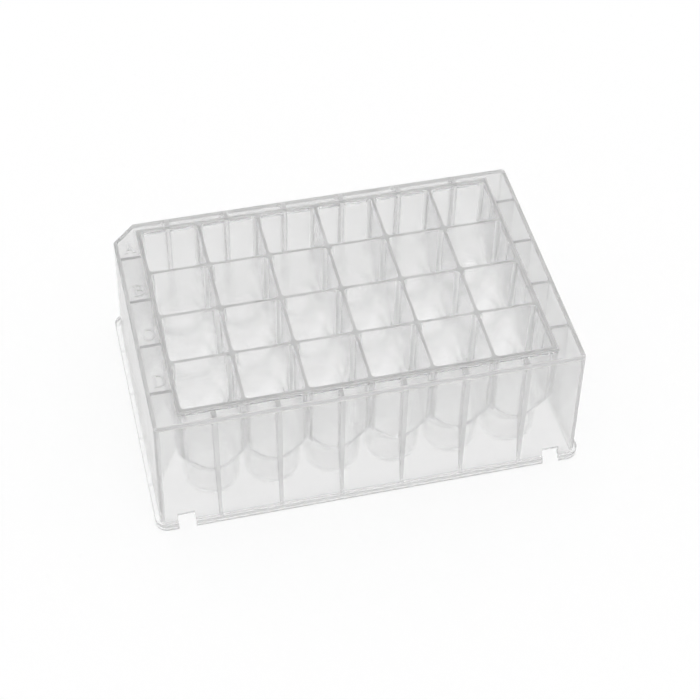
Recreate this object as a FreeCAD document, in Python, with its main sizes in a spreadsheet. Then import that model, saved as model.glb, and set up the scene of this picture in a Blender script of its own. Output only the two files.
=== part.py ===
import FreeCAD, Part
import math
import os
import re
import Sketcher

# A plate of square wells with round bottoms, moulded in one piece. Millimetres.
# The origin is under the middle of the foot. Columns run along +X and the first
# row is at the back.

os.makedirs("parts", exist_ok=True)
doc = FreeCAD.newDocument("wellPlate")
sizes = doc.addObject("Spreadsheet::Sheet", "Sizes")

drivingSizes = [
    ("plateHeight", 44.0),      # foot to the tops of the wells
    ("columnCount", 6),
    ("rowCount", 4),
    ("wellPitch", 18.0),
    ("wellWall", 0.9),          # between two openings
    ("wellCorner", 1.3),
    ("blockWall", 1.15),        # outer wall round the block of wells
    ("endSpace", 7.27),         # deck beside the block, at each end
    ("sideSpace", 4.13),        # and in front of it and behind it
    ("deckDrop", 0.9),          # the wells stand this far above the deck
    ("deckThick", 1.1),
    ("deckEdge", 0.4),
    ("skirtWall", 1.1),
    ("skirtDraft", 0.85),       # drafts are in degrees
    ("skirtCorner", 1.4),
    ("cornerCut", 6.7),         # the flat that marks well A1
    ("cutCorner", 0.8),
    ("footLedge", 1.91),        # the foot reaches this far past the deck
    ("footHeight", 2.5),
    ("footCorner", 3.5),
    ("footWall", 1.25),
    ("coneAngle", 26.4),        # between the cone and the axis of its well
    ("coneFaceHeight", 17.8),   # lowest point of the cone on an outer face
    ("tubeGap", 2.1),           # between the feet of two tubes
    ("tubeTaper", 0.4),         # a tube's radius grows by this up to the cone
    ("tubeWall", 1.0),
    ("bottomGap", 1.4),         # air under a round bottom
    ("bottomCrown", 13.0),
    ("bottomRound", 3.0),
    ("ribTopThick", 1.05),
    ("ribFootThick", 0.7),
    ("ribBend", 19.0),          # where a rib starts to run out to the skirt
    ("ribEnd", 2.2),
    ("notchWidth", 5.1),
    ("notchHeight", 4.7),
    ("notchInset", 8.93),       # from the end of the foot to the middle of a notch
    ("letterHeight", 4.5),
    ("letterSpace", 3.0),       # from the block to the middle of a letter
    ("letterStart", 1.35),      # from the middle of a rib to the foot of its letter
    ("numeralHeight", 2.4),
    ("numeralSpace", 1.55),     # from the block to the middle of a numeral
    ("numeralShift", 1.65),     # from the middle of a rib to that of its numeral
    ("markRaise", 0.25),
]
workedSizes = [
    ("wellOpening", "=wellPitch - wellWall"),
    ("blockLength", "=columnCount * wellPitch - wellWall + 2 * blockWall"),
    ("blockWidth", "=rowCount * wellPitch - wellWall + 2 * blockWall"),
    ("deckLength", "=blockLength + 2 * endSpace"),
    ("deckWidth", "=blockWidth + 2 * sideSpace"),
    ("footLength", "=deckLength + 2 * footLedge"),
    ("footWidth", "=deckWidth + 2 * footLedge"),
    ("tubeRadius", "=(wellPitch - tubeGap) / 2"),
    ("shoulderRadius", "=tubeRadius + tubeTaper"),
]
for row, (name, value) in enumerate(drivingSizes + workedSizes, start=1):
    sizes.set("A%d" % row, name)
    sizes.set("B%d" % row, str(value))
    sizes.setAlias("B%d" % row, name)
doc.recompute()

sizeNames = [name for name, value in drivingSizes + workedSizes]
reach = 3.0     # how far a cutting shape runs past what it cuts


def bind(item, prop, formula):
    """Tie a property to a formula written with the names in the sheet."""
    def place(found):
        word = found.group(0)
        return "Sizes." + word if word in sizeNames else word
    item.setExpression(prop, re.sub(r"[A-Za-z]+", place, formula))


def worth(formula):
    return float(sizes.evalExpression(formula))


def newSketch(body, name, plane, level="0"):
    """A sketch on one of the body's own origin planes, lifted by a formula."""
    sketch = body.newObject("Sketcher::SketchObject", name)
    features = body.Origin.OriginFeatures
    support = [item for item in features if item.Role == plane][0]
    sketch.AttachmentSupport = [(support, "")]
    sketch.MapMode = "FlatFace"
    bind(sketch, "AttachmentOffset.Base.z", level)
    return sketch


def pin(sketch, edge, end, across, up):
    """Hold one end of a sketch edge at two formulas."""
    for kind, formula in (("DistanceX", across), ("DistanceY", up)):
        rule = Sketcher.Constraint(kind, -1, 1, edge, end, worth(formula))
        number = sketch.addConstraint(rule)
        bind(sketch, "Constraints[%d]" % number, formula)


def addOutline(sketch, corners):
    """A closed polygon. Each corner is a pair of formulas."""
    spots = []
    for across, up in corners:
        spots.append(FreeCAD.Vector(worth(across), worth(up), 0))
    first = sketch.GeometryCount
    count = len(corners)
    for place in range(count):
        line = Part.LineSegment(spots[place], spots[(place + 1) % count])
        sketch.addGeometry(line)
    for place in range(count):
        edge = first + place
        after = first + (place + 1) % count
        sketch.addConstraint(Sketcher.Constraint("Coincident", edge, 2, after, 1))
        pin(sketch, edge, 1, *corners[place])


def centredBox(halfLength, halfWidth):
    left, front = "-(%s)" % halfLength, "-(%s)" % halfWidth
    return [(left, front), (halfLength, front), (halfLength, halfWidth), (left, halfWidth)]


def cutBox(halfLength, halfWidth, cut):
    """A centred rectangle that has lost its back left corner."""
    corners = centredBox(halfLength, halfWidth)[:3]
    corners.append(("%s - (%s)" % (cut, halfLength), halfWidth))
    corners.append(("-(%s)" % halfLength, "%s - (%s)" % (halfWidth, cut)))
    return corners


def addPad(body, sketch, length, taper="0", down=False):
    pad = body.newObject("PartDesign::Pad", sketch.Name + "Pad")
    pad.Profile = sketch
    pad.Reversed = down
    bind(pad, "Length", length)
    bind(pad, "TaperAngle", taper)
    doc.recompute()
    return pad


def roundEdges(body, base, radius, wanted):
    """Round the edges of a feature that a test picks out."""
    names = []
    for number, edge in enumerate(base.Shape.Edges, start=1):
        if wanted(edge):
            names.append("Edge%d" % number)
    fillet = body.newObject("PartDesign::Fillet", base.Name + "Round")
    fillet.Base = (base, names)
    bind(fillet, "Radius", radius)
    doc.recompute()
    return fillet


def isUpright(edge):
    box = edge.BoundBox
    return box.ZLength > 0.5 * edge.Length


def block(name, corners, top, height, taper="0"):
    """A body that hangs down from a level, its outline given at the top."""
    body = doc.addObject("PartDesign::Body", name)
    sketch = newSketch(body, name + "Outline", "XY_Plane", top)
    addOutline(sketch, corners)
    pad = addPad(body, sketch, height, taper, down=True)
    return body, pad


def booleanOf(kind, name, base, tool):
    result = doc.addObject("Part::" + kind, name)
    result.Base = base
    result.Tool = tool
    result.Refine = True
    return result


def fused(name, items):
    result = doc.addObject("Part::MultiFuse", name)
    result.Shapes = items
    result.Refine = True
    return result


def repeat(body, name, axis, count, features=()):
    """Carry features, or the body's whole shape, on along an axis."""
    row = body.newObject("PartDesign::LinearPattern", name)
    mode = "Features" if features else "Whole shape"
    row.Originals = list(features)
    row.TransformMode = mode
    row.Mode = "Spacing"
    direction = [item for item in body.Origin.OriginFeatures if item.Role == axis][0]
    row.Direction = (direction, [""])
    bind(row, "Offset", "wellPitch")
    bind(row, "Occurrences", count)
    body.Tip = row
    doc.recompute()


# The skirt and the deck that closes it.
deckTop = "(plateHeight - deckDrop)"
skirtTan = "tan(skirtDraft)"
skirtShape = cutBox("deckLength / 2", "deckWidth / 2", "cornerCut")
skirt, skirtPad = block("Skirt", skirtShape, deckTop, deckTop, "skirtDraft")


def besideCut(edge):
    middle = edge.CenterOfMass
    nearLeft = abs(middle.x + worth("deckLength / 2")) < 1
    nearBack = abs(middle.y - worth("deckWidth / 2")) < 1
    return isUpright(edge) and (nearLeft != nearBack) and middle.x < 0 and middle.y > 0


def besideCorner(edge):
    return isUpright(edge) and not besideCut(edge)


def onDeck(edge):
    return edge.BoundBox.ZMin > worth(deckTop) - 0.01


corners = roundEdges(skirt, skirtPad, "skirtCorner", besideCorner)
corners = roundEdges(skirt, corners, "cutCorner", besideCut)
roundEdges(skirt, corners, "deckEdge", onDeck)

hollowTop = "(plateHeight - deckDrop - deckThick)"
inset = "(skirtWall - deckThick * %s)" % skirtTan
hollowLength = "(deckLength / 2 - %s)" % inset
hollowWidth = "(deckWidth / 2 - %s)" % inset
hollowCut = "(cornerCut - %s * (2 - sqrt(2)))" % inset
hollowShape = cutBox(hollowLength, hollowWidth, hollowCut)
hollow, hollowPad = block("Hollow", hollowShape, hollowTop, hollowTop, "skirtDraft")

# The foot, with a step inside it that fits over the deck of a plate below.
footShape = centredBox("footLength / 2", "footWidth / 2")
foot, footPad = block("Foot", footShape, "footHeight", "footHeight")
roundEdges(foot, footPad, "footCorner", isUpright)
stepShape = centredBox("(footLength / 2 - footWall)", "(footWidth / 2 - footWall)")
stepHeight = "(footHeight - skirtWall)"
step, stepPad = block("Step", stepShape, stepHeight, stepHeight)
roundEdges(step, stepPad, "footCorner - footWall", isUpright)

notches = []
for side in (-1, 1):
    notch = doc.addObject("Part::Box", "Notch")
    bind(notch, "Length", "notchWidth")
    bind(notch, "Width", "footWidth + %g" % (2 * reach))
    bind(notch, "Height", "notchHeight + %g" % reach)
    middle = "%d * (footLength / 2 - notchInset)" % side
    bind(notch, "Placement.Base.x", middle + " - notchWidth / 2")
    bind(notch, "Placement.Base.y", "-footWidth / 2 - %g" % reach)
    notch.Placement.Base.z = -reach
    notches.append(notch)

shellForm = fused("ShellForm", [skirt, foot])
shellRoom = fused("ShellRoom", [hollow, step] + notches)
shell = booleanOf("Cut", "Shell", shellForm, shellRoom)

# Ribs. Each is a plate right across the plate, trimmed by the skirt; the part that
# would stand in the wells goes when the wells are hollowed.
innerFoot = "(%s / 2 - skirtWall + (plateHeight - deckDrop - ribEnd) * " + skirtTan + ")"
directions = [
    ("Cross", "XZ_Plane", "X_Axis", "columnCount", "blockWidth", "deckWidth", "YZ_Plane"),
    ("Long", "YZ_Plane", "Y_Axis", "rowCount", "blockLength", "deckLength", "XZ_Plane"),
]
ribBodies = []
for name, plane, axis, count, blockSize, size, sidePlane in directions:
    body = doc.addObject("PartDesign::Body", name + "Ribs")
    middle = "-(%s - 1) * wellPitch / 2" % count
    ribTop = "(plateHeight - deckDrop - deckThick / 2)"
    ribShape = [
        (middle + " - ribFootThick / 2", "ribEnd"),
        (middle + " + ribFootThick / 2", "ribEnd"),
        (middle + " + ribTopThick / 2", ribTop),
        (middle + " - ribTopThick / 2", ribTop),
    ]
    sketch = newSketch(body, name + "Rib", plane)
    addOutline(sketch, ribShape)
    pad = addPad(body, sketch, size + " + %g" % (2 * reach))
    pad.Midplane = True
    repeat(body, name + "RibRow", axis, count, [pad])
    blockHalf = "%s / 2" % blockSize
    footHalf = innerFoot % size
    under = "-%g" % reach
    openShape = [
        ("-" + footHalf, under),
        (footHalf, under),
        (footHalf, "ribEnd"),
        (blockHalf, "ribBend"),
        ("-" + blockHalf, "ribBend"),
        ("-" + footHalf, "ribEnd"),
    ]
    sketch = newSketch(body, name + "RibRoom", sidePlane)
    addOutline(sketch, openShape)
    pocket = body.newObject("PartDesign::Pocket", name + "RibSlope")
    pocket.Profile = sketch
    pocket.Midplane = True
    bind(pocket, "Length", "footLength + footWidth")
    doc.recompute()
    ribBodies.append(body)
ribPlates = fused("RibPlates", ribBodies)
ribs = booleanOf("Common", "Ribs", ribPlates, skirt)

# The block of wells: overlapping cones with round tubes under them, squared off by
# the block's outer walls.
cone = "tan(coneAngle)"
faceReach = "(wellOpening / 2 + blockWall)"
coneReach = "(1.45 * %s)" % faceReach
shoulderHeight = "(coneFaceHeight - (%s - shoulderRadius) / %s)" % (faceReach, cone)


def wellProfile(sketch, wall, closing):
    """Half a well: crowned bottom, tube, cone, then back to the axis. The wall is
    how far inside the outer surface the profile lies."""
    bottom = "(bottomGap + %s)" % wall
    crown = "(bottomCrown - %s)" % wall
    radius = "(tubeRadius - %s)" % wall
    shoulder = "(shoulderRadius - %s)" % wall
    lift = "(%s * (1 / cos(coneAngle) - 1) / %s)" % (wall, cone)
    level = "(%s + %s)" % (shoulderHeight, lift)
    top = "(%s + (%s - %s) / %s)" % (level, coneReach, shoulder, cone)
    spread = math.asin(worth(radius) / worth(crown))
    centre = FreeCAD.Vector(0, worth(bottom) + worth(crown), 0)
    circle = Part.Circle(centre, FreeCAD.Vector(0, 0, 1), worth(crown))
    low = -math.pi / 2
    arc = sketch.addGeometry(Part.ArcOfCircle(circle, low, low + spread))
    pin(sketch, arc, 3, "0", bottom + " + " + crown)
    pin(sketch, arc, 1, "0", bottom)
    rule = Sketcher.Constraint("DistanceX", -1, 1, arc, 2, worth(radius))
    number = sketch.addConstraint(rule)
    bind(sketch, "Constraints[%d]" % number, radius)
    corners = [(shoulder, level), (coneReach, top), (coneReach, closing), ("0", closing)]
    spots = [circle.value(low + spread)]
    for across, up in corners:
        spots.append(FreeCAD.Vector(worth(across), worth(up), 0))
    spots.append(circle.value(low))
    last = arc
    for place in range(len(corners) + 1):
        edge = sketch.addGeometry(Part.LineSegment(spots[place], spots[place + 1]))
        sketch.addConstraint(Sketcher.Constraint("Coincident", last, 2, edge, 1))
        if place < len(corners):
            pin(sketch, edge, 2, *corners[place])
        last = edge
    sketch.addConstraint(Sketcher.Constraint("Coincident", last, 2, arc, 1))


def atTubeFoot(radius):
    def test(edge):
        box = edge.BoundBox
        return box.ZLength < 0.01 and abs(box.XLength / 2 - worth(radius)) < 0.01
    return test


def spin(body, kind, sketch):
    turn = body.newObject("PartDesign::" + kind, sketch.Name + kind)
    turn.Profile = sketch
    turn.ReferenceAxis = (sketch, ["V_Axis"])
    turn.Angle = 360
    doc.recompute()
    return turn


def repeatWells(body):
    """Set the body's shape out at every well."""
    repeat(body, body.Name + "Row", "X_Axis", "columnCount")
    repeat(body, body.Name + "Grid", "Y_Axis", "rowCount")
    bind(body, "Placement.Base.x", "-(columnCount - 1) * wellPitch / 2")
    bind(body, "Placement.Base.y", "-(rowCount - 1) * wellPitch / 2")
    doc.recompute()


wellForms = doc.addObject("PartDesign::Body", "WellForms")
sketch = newSketch(wellForms, "WellOutside", "XZ_Plane")
wellProfile(sketch, "0", "plateHeight")
form = spin(wellForms, "Revolution", sketch)
roundEdges(wellForms, form, "bottomRound", atTubeFoot("tubeRadius"))
repeatWells(wellForms)

blockBox = doc.addObject("Part::Box", "BlockBox")
bind(blockBox, "Length", "blockLength")
bind(blockBox, "Width", "blockWidth")
bind(blockBox, "Height", "plateHeight")
bind(blockBox, "Placement.Base.x", "-blockLength / 2")
bind(blockBox, "Placement.Base.y", "-blockWidth / 2")
wellBlock = booleanOf("Common", "WellBlock", wellForms, blockBox)

# The rooms inside the wells: square prisms sharpened to cones and round bottoms.
opening = centredBox("wellOpening / 2", "wellOpening / 2")
depth = "(plateHeight - bottomGap)"
rooms, roomPad = block("Rooms", opening, "plateHeight", depth)
roundEdges(rooms, roomPad, "wellCorner", isUpright)
sketch = newSketch(rooms, "WellInside", "XZ_Plane")
wellProfile(sketch, "tubeWall", "-%g" % reach)
sharpened = spin(rooms, "Groove", sketch)
innerTube = "tubeRadius - tubeWall"
roundEdges(rooms, sharpened, "bottomRound - tubeWall", atTubeFoot(innerTube))
repeatWells(rooms)

# Row letters beside the first column and numerals behind the first row. Strokes are
# given for a height of one: bars by their ends, bends by centre, radius and angles.
glyphs = {
    "A": ["bar 0.10 0.04 0.38 0.98 0.09", "bar 0.38 0.98 0.66 0.04 0.14",
          "bar 0.20 0.34 0.56 0.34 0.08", "bar 0.00 0.035 0.24 0.035 0.07",
          "bar 0.50 0.035 0.78 0.035 0.07"],
    "B": ["bar 0.16 0.00 0.16 1.00 0.14", "bar 0.00 0.04 0.42 0.04 0.08",
          "bar 0.00 0.96 0.40 0.96 0.08", "bar 0.16 0.54 0.42 0.54 0.08",
          "bend 0.40 0.74 0.20 -90 90 0.12", "bend 0.42 0.30 0.24 -90 90 0.12"],
    "C": ["bend 0.36 0.66 0.30 15 180 0.12", "bend 0.36 0.34 0.30 180 345 0.12",
          "bar 0.06 0.34 0.06 0.66 0.12", "bar 0.66 0.62 0.66 0.98 0.07"],
    "D": ["bar 0.16 0.00 0.16 1.00 0.14", "bar 0.00 0.04 0.34 0.04 0.08",
          "bar 0.00 0.96 0.34 0.96 0.08", "bend 0.34 0.64 0.32 0 90 0.10",
          "bend 0.34 0.36 0.32 -90 0 0.10", "bar 0.66 0.35 0.66 0.65 0.14"],
    "1": ["bar 0.35 0.00 0.35 1.00 0.15", "bar 0.14 0.80 0.35 0.94 0.12",
          "bar 0.14 0.05 0.56 0.05 0.10"],
    "2": ["bend 0.35 0.70 0.25 -30 165 0.14", "bar 0.57 0.58 0.10 0.07 0.14",
          "bar 0.06 0.06 0.64 0.06 0.12"],
    "3": ["bend 0.34 0.74 0.20 -90 150 0.13", "bend 0.34 0.29 0.24 -150 90 0.13"],
    "4": ["bar 0.46 0.00 0.46 1.00 0.14", "bar 0.46 0.96 0.08 0.34 0.12",
          "bar 0.00 0.32 0.66 0.32 0.12"],
    "5": ["bar 0.14 0.94 0.60 0.94 0.12", "bar 0.16 0.94 0.13 0.52 0.12",
          "bend 0.32 0.31 0.25 -150 130 0.13"],
    "6": ["bend 0.35 0.29 0.23 0 360 0.13", "bend 0.59 0.29 0.47 115 180 0.13",
          "bar 0.39 0.71 0.56 0.90 0.13"],
}


def bar(startX, startY, endX, endY, thick):
    start = FreeCAD.Vector(startX, startY, 0)
    along = FreeCAD.Vector(endX, endY, 0) - start
    stroke = Part.makeBox(along.Length, thick, 1, FreeCAD.Vector(0, -thick / 2, 0))
    turn = math.degrees(math.atan2(along.y, along.x))
    stroke.rotate(FreeCAD.Vector(), FreeCAD.Vector(0, 0, 1), turn)
    stroke.translate(start)
    return stroke


def bend(centreX, centreY, radius, fromAngle, toAngle, thick):
    centre = FreeCAD.Vector(centreX, centreY, 0)
    up = FreeCAD.Vector(0, 0, 1)
    turn = toAngle - fromAngle
    stroke = Part.makeCylinder(radius + thick / 2, 1, centre, up, turn)
    stroke = stroke.cut(Part.makeCylinder(radius - thick / 2, 1, centre, up))
    stroke.rotate(centre, up, fromAngle)
    return stroke


def glyphEdges(name, height, middleX, startY):
    """The outline edges of one letter or numeral, in place."""
    strokes = []
    for stroke in glyphs[name]:
        words = stroke.split()
        maker = bar if words[0] == "bar" else bend
        strokes.append(maker(*[float(word) for word in words[1:]]))
    form = strokes[0].multiFuse(strokes[1:]).removeSplitter()
    form.scale(height)
    shift = middleX - form.BoundBox.Center.x
    form.translate(FreeCAD.Vector(shift, startY, 0))
    return [edge for edge in form.Edges if edge.BoundBox.ZMax < 0.001]


def edgeCurve(edge):
    first, last = edge.ParameterRange
    points = [edge.valueAt(spot) for spot in (first, (first + last) / 2, last)]
    if isinstance(edge.Curve, Part.Line):
        return Part.LineSegment(points[0], points[2])
    if edge.isClosed():
        return Part.Circle(edge.Curve.Center, FreeCAD.Vector(0, 0, 1), edge.Curve.Radius)
    return Part.Arc(*points)


marks = doc.addObject("PartDesign::Body", "Marks")
markRoot = "(deckThick / 2)"
sketch = newSketch(marks, "MarkOutlines", "XY_Plane", deckTop + " - " + markRoot)
markings = []
for row, letter in enumerate("ABCD"):
    rib = worth("(rowCount - 1) * wellPitch / 2 - %d * wellPitch" % row)
    start = rib + worth("letterStart")
    middle = -worth("blockLength / 2 + letterSpace")
    markings.append((letter, worth("letterHeight"), middle, start))
for column, numeral in enumerate("123456"):
    rib = worth("%d * wellPitch - (columnCount - 1) * wellPitch / 2" % column)
    start = worth("blockWidth / 2 + numeralSpace - numeralHeight / 2")
    middle = rib - worth("numeralShift")
    markings.append((numeral, worth("numeralHeight"), middle, start))
for marking in markings:
    for edge in glyphEdges(*marking):
        sketch.addGeometry(edgeCurve(edge))
addPad(marks, sketch, "markRaise + " + markRoot)

# One moulded piece.
solidForm = fused("SolidForm", [shell, ribs, wellBlock, marks])
wellPlate = booleanOf("Cut", "WellPlate", solidForm, rooms)
wellPlate.Label = "well_plate"
wellPlate.Placement = FreeCAD.Placement()
doc.recompute()

for item in doc.Objects:
    if "Invalid" in item.State or "Error" in item.State:
        raise RuntimeError("%s did not rebuild" % item.Label)
    shape = getattr(item, "Shape", None)
    if item.TypeId != "Sketcher::SketchObject" and shape is not None:
        if shape.isNull() or not shape.isValid():
            raise RuntimeError("%s has no sound shape" % item.Label)
if len(wellPlate.Shape.Solids) != 1:
    raise RuntimeError("the plate is in %d pieces" % len(wellPlate.Shape.Solids))
box = wellPlate.Shape.optimalBoundingBox()
print("size", round(box.XLength, 3), round(box.YLength, 3), round(box.ZLength, 3))
print("volume", round(wellPlate.Shape.Volume / 1000, 2), "cm3")
roomVolume = rooms.Shape.Volume / worth("rowCount * columnCount") / 1000
print("room in a well", round(roomVolume, 2), "ml")
wellPlate.Shape.exportStep("parts/%s.step" % wellPlate.Label)
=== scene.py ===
import math
import bpy
from mathutils import Euler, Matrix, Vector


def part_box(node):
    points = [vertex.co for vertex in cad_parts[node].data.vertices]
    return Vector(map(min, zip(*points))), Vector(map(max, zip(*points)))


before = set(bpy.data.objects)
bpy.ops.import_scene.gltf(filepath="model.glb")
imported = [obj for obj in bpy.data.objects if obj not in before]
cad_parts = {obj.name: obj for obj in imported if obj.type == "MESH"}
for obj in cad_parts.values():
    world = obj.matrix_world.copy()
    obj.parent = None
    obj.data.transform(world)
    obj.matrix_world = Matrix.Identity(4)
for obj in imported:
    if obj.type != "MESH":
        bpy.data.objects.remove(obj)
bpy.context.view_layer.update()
scene = bpy.context.scene
scene.view_settings.view_transform = "Standard"


# one socket of a node, so that shader maths can be written as sums
class Wire:
    def __init__(self, graph, socket):
        self.graph = graph
        self.socket = socket

    def math(self, operation, *terms):
        return self.graph.add("ShaderNodeMath", {"operation": operation}, *terms)

    def __add__(self, other): return self.math("ADD", self, other)
    def __radd__(self, other): return self.math("ADD", other, self)
    def __sub__(self, other): return self.math("SUBTRACT", self, other)
    def __rsub__(self, other): return self.math("SUBTRACT", other, self)
    def __mul__(self, other): return self.math("MULTIPLY", self, other)
    def __rmul__(self, other): return self.math("MULTIPLY", other, self)
    def __truediv__(self, other): return self.math("DIVIDE", self, other)
    def __rtruediv__(self, other): return self.math("DIVIDE", other, self)
    def __lt__(self, other): return self.math("LESS_THAN", self, other)
    def __gt__(self, other): return self.math("GREATER_THAN", self, other)

    def size(self): return self.math("ABSOLUTE", self)

    def most(self, other): return self.math("MAXIMUM", self, other)

    def fraction(self): return self.math("FRACT", self)

    # another output of the same node
    def beside(self, name): return Wire(self.graph, self.socket.node.outputs[name])


class Graph:
    def __init__(self, tree):
        self.tree = tree
        tree.nodes.clear()

    # a node: its type, its settings, then what its inputs get, in order or by name
    def add(self, kind, settings=None, *inputs, out=0, **named):
        node = self.tree.nodes.new(kind)
        for key, value in (settings or {}).items():
            setattr(node, key, value)
        given = dict(enumerate(inputs))
        given.update((name.replace("_", " "), value) for name, value in named.items())
        for key, value in given.items():
            if isinstance(value, Wire):
                self.tree.links.new(value.socket, node.inputs[key])
            else:
                node.inputs[key].default_value = value
        return Wire(self, node.outputs[out]) if node.outputs else node

    def parts(self, vector):
        first = self.add("ShaderNodeSeparateXYZ", None, vector)
        return [first.beside(name) for name in "XYZ"]

    # 0 below low, 1 above high, smooth between
    def rise(self, value, low, high):
        return self.add("ShaderNodeMapRange", {"interpolation_type": "SMOOTHSTEP"},
                        value, low, high, 0.0, 1.0)

    # scattered light, some of it let through to the other side
    def milk(self, level, share):
        front = self.add("ShaderNodeBsdfDiffuse", None, grey(level))
        back = self.add("ShaderNodeBsdfTranslucent", None, grey(level))
        return self.add("ShaderNodeMixShader", None, share, front, back)


def grey(level):
    return (level, level, level, 1.0)


# from low to high as share goes from 0 to 1, for wires and for plain numbers
def between(low, high, share):
    return low + share * (high - low)


# lengths in metres; a milk value is the share of light that a surface scatters
plastic = {
    "ior": 1.49,
    "depth": 2.5,            # absorption in a metre of plastic
    "gloss": 0.15,           # roughness of the moulded skin
    "wellGloss": 0.255,      # and inside the wells
    "glossVary": 0.012,
    "flowScale": 90.0,       # how fine the clouds in the plastic are

    "tint": 0.987,           # what passing through a wall keeps
    # painted shade in the tints below: darker low in the wells, on the deck and up the skirt,
    # lighter at the skirt's ends
    "bottomShadeTint": 0.968,     # low down in the wells
    "deckShadeTint": 0.917,
    "skirtShadeTint": (0.935, 0.88),     # outside of the skirt, at its foot and its top
    "endShadeTint": 0.97,         # the two ends of the skirt

    "milkTone": 0.88,        # brightness of the scattered light, in thin plastic
    "shadeTone": 0.64,       # and darker where plastic is seen along its length, as painted shade
    "backShare": 0.5,        # how much of it goes on through
    "milkVary": 0.15,

    # thin plastic
    "wellMilk": 0.014,
    "sideMilk": 0.05,        # outside of the block of wells
    "innerMilk": 0.09,       # behind the skirt, on the ribs and under the deck
    "shellMilk": 0.20,       # outside of the skirt and the deck
    "endMilk": 0.10,
    "rimTopMilk": 0.45,      # the deck's long edges
    "backDeckMilk": 0.35,    # the deck at the back, inside its rim and over the ribs
    "cornerMilk": 0.45,      # the skirt's corners
    "bendMilk": 0.35,        # the wells' rounded corners

    # plastic seen along its length, in the darker tone: painted shade for dark lines on wall
    # tops, the block's edges, ribs, deck edges, letters and the foot
    "topMilk": 0.60,         # tops of the walls
    "lipMilk": 0.65,         # outside of the block, above the deck
    "postMilk": 0.15,        # where a wall between wells meets the outside of the block
    "stripMilk": 0.20,       # where the ribs meet the skirt and the block
    "endStrip": 0.35,        # how much of a strip shows at the ends
    "wallStrip": 0.3,        # and on the block
    "rimEndMilk": 0.30,      # the deck's short edges
    "brimMilk": 0.50,        # the rounding of its long edges
    "markMilk": 0.15,        # raised letters
    "edgeMilk": 0.70,        # and their sides
    "slabMilk": 0.35,        # the solid part of the foot, a painted darker band
    "baseMilk": 0.75,        # its lowest edge, a painted contact shadow

    # the wells, from one to the next and from a well's middle outwards
    "pitch": 0.018,
    "bendStart": 0.0075,     # where its rounded corners begin
    "postStart": 0.0084,     # and the wall beside it
    "bottomTop": 0.021,      # below it the wells narrow
    "bottomFade": 0.003,
    "blockInset": (0.00918, 0.00604),     # from the foot's edge to the block of wells
    "blockWall": 0.00115,
    "inward": 4.0,           # tells the inner faces of a well from its outer ones

    # the ribs, and the strips that show them
    "ribHalf": (0.00035, 0.00053),        # half a rib's thickness, at its foot and top
    "ribReach": (0.0022, 0.0425),
    "stripEdge": 0.0002,     # how far a strip runs past its rib
    "stripDepth": 1.4,       # and into the block, in walls

    # the deck and the skirt
    "deckDrop": 0.0009,      # from the tops of the walls down to the deck
    "rimDepth": 0.0008,
    "rimReach": 1.9,         # from the edge to where backDeck ends, in skirt walls
    "brim": 0.00045,
    "skirtWall": 0.0011,
    "skirtCorner": 0.0014,   # from the outside to where a corner begins
    "draft": 0.0148,         # how far the skirt leans out for each metre down

    # the foot
    "footLedge": 0.00191,    # how far it stands out past the deck
    "footHeight": 0.0025,
    "footCorner": 0.0035,
    "slab": (0.0012, 0.0024),
    "base": 0.0005,

    # how far the masks reach past a face, and how far up it points from steep to flat
    "skin": 0.0003,
    "near": 0.0001,
    "topDepth": 0.0005,
    "markStart": 0.00003,
    "facing": (0.5, 0.9),
}


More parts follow.
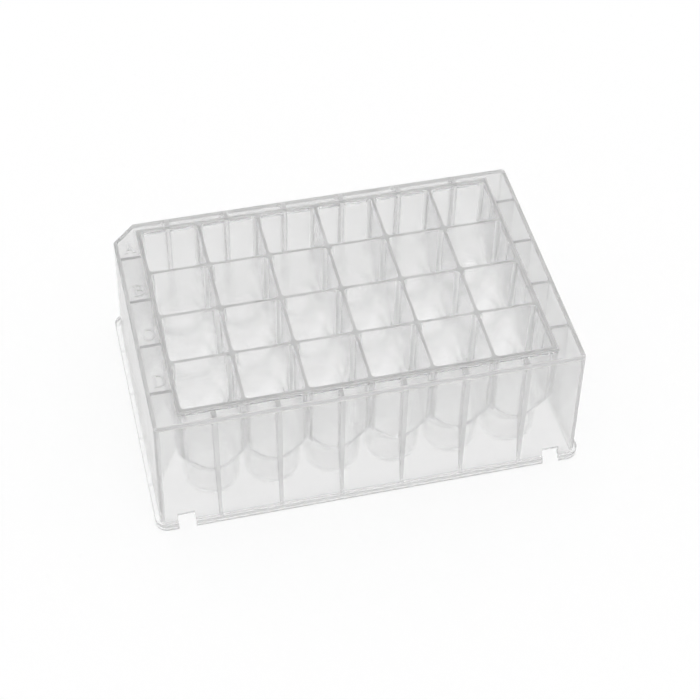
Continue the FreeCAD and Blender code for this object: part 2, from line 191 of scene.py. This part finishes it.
# where each kind of surface is on the plate, as masks from 0 to 1
def plateRegions(graph, sizes):
    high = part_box("well_plate")[1]
    blockX = high[0] - sizes["blockInset"][0]
    blockY = high[1] - sizes["blockInset"][1]
    deckX = high[0] - sizes["footLedge"]
    deckY = high[1] - sizes["footLedge"]
    deckTop = high[2] - sizes["deckDrop"]
    pitch, wall, skirt = sizes["pitch"], sizes["blockWall"], sizes["skirtWall"]
    skin, near, brim = sizes["skin"], sizes["near"], sizes["brim"]
    steep, flat = sizes["facing"]
    place = graph.add("ShaderNodeTexCoord", out="Object")
    x, y, z = graph.parts(place)
    across, along, up = graph.parts(place.beside("Normal"))

    # from the middle of a well, first in pitches
    columnX = (x / pitch).fraction() - 0.5
    rowY = (y / pitch).fraction() - 0.5
    inWell = (across * columnX + along * rowY) * sizes["inward"] < up
    offX, offY = columnX.size() * pitch, rowY.size() * pitch
    back = y > 0.0
    x, y = x.size(), y.size()

    # the block of wells, and the shell of skirt, deck, ribs and foot round it
    pastX = graph.rise(x, blockX + near, blockX + near + skin)
    pastY = graph.rise(y, blockY + near, blockY + near + skin)
    shell = pastX.most(pastY)
    block = 1 - shell
    side = block * (x > blockX - skin).most(y > blockY - skin)
    upper = graph.rise(z, sizes["bottomTop"] - sizes["bottomFade"], sizes["bottomTop"])
    wallTop = graph.rise(z, high[2] - sizes["topDepth"], high[2] - near)
    wallTop = wallTop * graph.rise(up, steep, flat)
    bend = (offX > sizes["bendStart"]) * (offY > sizes["bendStart"])
    post = (offX > sizes["postStart"]) * (y > blockY - wall)
    post = post.most((offY > sizes["postStart"]) * (x > blockX - wall))

    # the deck and the skirt, whose outside leans
    deck = z > deckTop - skin
    onDeck = graph.rise(z, deckTop + sizes["markStart"], deckTop + near)
    mark = shell * onDeck
    lean = (deckTop - z) * sizes["draft"]
    outX = x > lean + (deckX - 0.5 * skirt)
    outY = y > lean + (deckY - 0.5 * skirt)
    nearTop = z > deckTop - sizes["rimDepth"]
    turnIn = lean - sizes["skirtCorner"]
    corner = (x > turnIn + deckX) * (y > turnIn + deckY) * (z > sizes["footHeight"])

    # a rib shows as a strip of painted shade on the skirt and on the wall that it joins
    ribFoot, ribTop = sizes["ribReach"]
    half = between(*sizes["ribHalf"], (z - ribFoot) / (ribTop - ribFoot)) + sizes["stripEdge"]
    stripX = (offX < half) * (y > blockY - sizes["stripDepth"] * wall) * (x < blockX)
    stripY = (offY < half) * (x > blockX - sizes["stripDepth"] * wall) * (y < blockY)
    strip = stripX.most(stripY * between(1, sizes["endStrip"], pastX))
    strip = strip * between(sizes["wallStrip"], 1, shell)
    backDeck = (offX < half).most(y > deckY - sizes["rimReach"] * skirt)

    # the foot's outermost face, round its corners too, where the foot's painted shade goes
    turn = sizes["footCorner"]
    cornerX = (x - (high[0] - turn)).most(0.0)
    cornerY = (y - (high[1] - turn)).most(0.0)
    rim = cornerX * cornerX + cornerY * cornerY > (turn - skin) ** 2
    return {
        "place": place,
        "inWell": block * inWell,
        "bottom": block * (1 - upper),
        "side": side,
        "lip": side * onDeck,
        "post": post * side * upper,
        "bend": bend * block * (1 - side) * (1 - wallTop) * upper,
        "top": block * wallTop,
        "shell": shell,
        "outer": shell * outX.most(outY).most(deck),
        "deck": deck,
        "backDeck": backDeck * back * pastY * deck * (y < deckY - skirt),
        "height": z / deckTop,
        "end": outX * (1 - deck),
        "mark": mark,
        "edge": mark * (up.size() < steep),
        "strip": strip * (z > ribFoot) * (1 - onDeck),
        "corner": corner * (1 - nearTop),
        "rimTop": (y > deckY - skirt) * nearTop,
        "rimEnd": (x > deckX - skirt) * nearTop,
        "brim": (y > deckY - brim) * (z > deckTop - brim),
        "slab": rim * (z > sizes["slab"][0]) * (z < sizes["slab"][1]),
        "base": rim * (z < sizes["base"]),
    }


# the milk of some kinds of surface, added up
def milkOf(at, sizes, *names):
    first, *others = [at[name] * sizes[name + "Milk"] for name in names]
    return sum(others, first)


def makePlastic(sizes):
    material = bpy.data.materials.new("clearPolypropylene")
    material.use_nodes = True
    graph = Graph(material.node_tree)
    at = plateRegions(graph, sizes)
    flow = graph.add("ShaderNodeTexNoise", None, at["place"],
                     Scale=sizes["flowScale"], Detail=3.0, Roughness=0.5)
    vary = 2 * flow - 1

    # painted shade: these surfaces scatter in the darker tone, which draws dark lines on them
    shadeShare = milkOf(at, sizes, "top", "strip", "post", "brim", "slab", "base",
                   "mark", "edge", "rimEnd", "lip")
    outerMilk = between(sizes["shellMilk"], sizes["endMilk"], at["end"])
    thin = between(sizes["wellMilk"], sizes["innerMilk"], at["shell"])
    thin = thin + at["outer"] * (outerMilk - sizes["innerMilk"])
    thin = thin + milkOf(at, sizes, "rimTop", "side", "corner", "bend", "backDeck")
    thin = thin * (1 + vary * sizes["milkVary"])

    # painted shade: the outside of the skirt darker towards its top, the deck darker, the
    # ends lighter, the wells darker low down
    shellShadeTint = between(*sizes["skirtShadeTint"], at["height"])
    shellShadeTint = between(shellShadeTint, sizes["deckShadeTint"], at["deck"])
    shellShadeTint = between(shellShadeTint, sizes["endShadeTint"], at["end"])
    tint = between(sizes["tint"], sizes["bottomShadeTint"], at["bottom"])
    tint = between(tint, shellShadeTint, at["outer"])
    gloss = between(sizes["gloss"], sizes["wellGloss"], at["inWell"])
    gloss = gloss + vary * sizes["glossVary"]

    clear = graph.add("ShaderNodeBsdfPrincipled", None, Base_Color=tint,
                      Roughness=gloss, IOR=sizes["ior"], Transmission_Weight=1.0)
    thinMilk = graph.milk(sizes["milkTone"], sizes["backShare"])
    # the same scatter in the darker tone, as painted shade
    shadeMilk = graph.milk(sizes["shadeTone"], sizes["backShare"])
    milk = graph.add("ShaderNodeMixShader", None, shadeShare / (shadeShare + thin), thinMilk, shadeMilk)
    skin = graph.add("ShaderNodeMixShader", None, thin + shadeShare, clear, milk)
    inside = graph.add("ShaderNodeVolumeAbsorption", None, grey(0.0), sizes["depth"])
    graph.add("ShaderNodeOutputMaterial", None, Surface=skin, Volume=inside)
    return material


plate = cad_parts["well_plate"]
plate.data.materials.clear()
plate.data.materials.append(makePlastic(plastic))
print("plate: clear moulded plastic")


studio = {
    "floorSize": 6.0,
    "floorTone": 1.0,
    "skyTone": 1.0,
    "glowShare": 0.75,       # the rest of the floor's white is lit, and keeps the shadow
}


def makeFloor(sizes):
    material = bpy.data.materials.new("whiteTable")
    material.use_nodes = True
    graph = Graph(material.node_tree)
    matt = graph.add("ShaderNodeBsdfDiffuse", None, grey(sizes["floorTone"]))
    glow = graph.add("ShaderNodeEmission", None, grey(1.0), 1.0)
    seen = graph.add("ShaderNodeLightPath", out="Is Camera Ray")
    seen = seen.most(seen.beside("Is Glossy Ray")).most(seen.beside("Is Transmission Ray"))
    table = graph.add("ShaderNodeMixShader", None, seen * sizes["glowShare"], matt, glow)
    graph.add("ShaderNodeOutputMaterial", None, Surface=table)
    bpy.ops.mesh.primitive_plane_add(size=sizes["floorSize"], location=(0, 0, 0))
    floor = bpy.context.object
    floor.name = "floor"
    floor.data.materials.append(material)


def makeSky(sizes):
    world = bpy.data.worlds.new("studio")
    scene.world = world
    world.use_nodes = True
    sky = Graph(world.node_tree)
    glow = sky.add("ShaderNodeBackground", None, grey(1.0), sizes["skyTone"])
    sky.add("ShaderNodeOutputWorld", None, Surface=glow)


makeFloor(studio)
makeSky(studio)
print("floor and light: ready")

view = {
    "place": (-0.087558, -0.348294, 0.413470),
    "turn": (42.17903, -1.02709, -13.45620),
    "lens": 90.73,
    "sensor": 36.0,
}
lens = bpy.data.cameras.new("camera")
lens.lens = view["lens"]
lens.sensor_width = view["sensor"]
camera = bpy.data.objects.new("camera", lens)
camera.location = view["place"]
camera.rotation_euler = Euler([math.radians(angle) for angle in view["turn"]])
scene.collection.objects.link(camera)
scene.camera = camera

# thin clear walls need many bounces, and no softening of the later ones
scene.cycles.max_bounces = 96
scene.cycles.transmission_bounces = 96
scene.cycles.glossy_bounces = 96
scene.cycles.diffuse_bounces = 32
scene.cycles.transparent_max_bounces = 64
scene.cycles.blur_glossy = 0.0
print("camera: ready")
